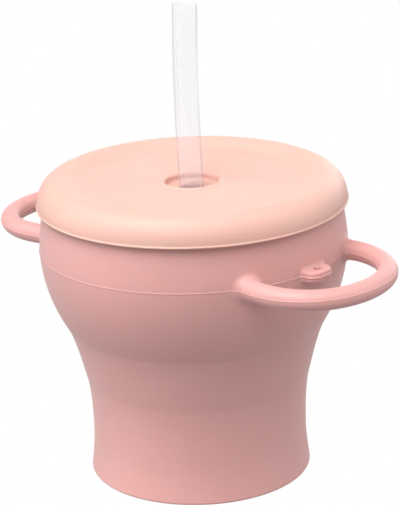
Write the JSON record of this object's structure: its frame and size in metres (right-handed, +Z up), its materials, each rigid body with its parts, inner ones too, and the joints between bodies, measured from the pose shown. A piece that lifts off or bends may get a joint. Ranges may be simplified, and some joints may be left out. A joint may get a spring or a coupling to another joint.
{
  "type": "collapsible straw cup",
  "caption": "Soft silicone straw cup for a small child: waisted base, fold web, round bowl with loop handles and strap lugs, push-on lid with a straw well, and a clear straw.",
  "frame": {"origin": "centre of the standing ring under the base", "axes": "+Z up along the cup's axis; +X towards the right handle; the handles and strap lugs lie on the X axis"},
  "size_m": [0.1518, 0.1006, 0.1554],
  "materials": {
    "cup_silicone": "matte dusty pink silicone",
    "lid_silicone": "satin, slightly translucent peach silicone",
    "clear_silicone": "clear silicone, faintly milky"
  },
  "bodies": {
    "base": {"base_cup": "cup_silicone", "fold_web": "cup_silicone"},
    "bowl": {"upper_bowl": "cup_silicone", "right_handle": "cup_silicone", "left_handle": "cup_silicone", "right_strap_lug": "cup_silicone", "left_strap_lug": "cup_silicone"},
    "lid": {"lid": "lid_silicone"},
    "straw": {"straw": "clear_silicone"}
  },
  "joints": [
    {"name": "collapse", "type": "slide", "parent": "base", "child": "bowl", "axis": [0, 0, -1], "range_m": [0, 0.0372], "deforming": ["fold_web"]},
    {"name": "lid_lift", "type": "slide", "parent": "bowl", "child": "lid", "axis": [0, 0, 1], "range_m": [0, 0.08]},
    {"name": "straw_slide", "type": "slide", "parent": "base", "child": "straw", "axis": [0, 0, 1], "range_m": [0, 0.1]}
  ]
}
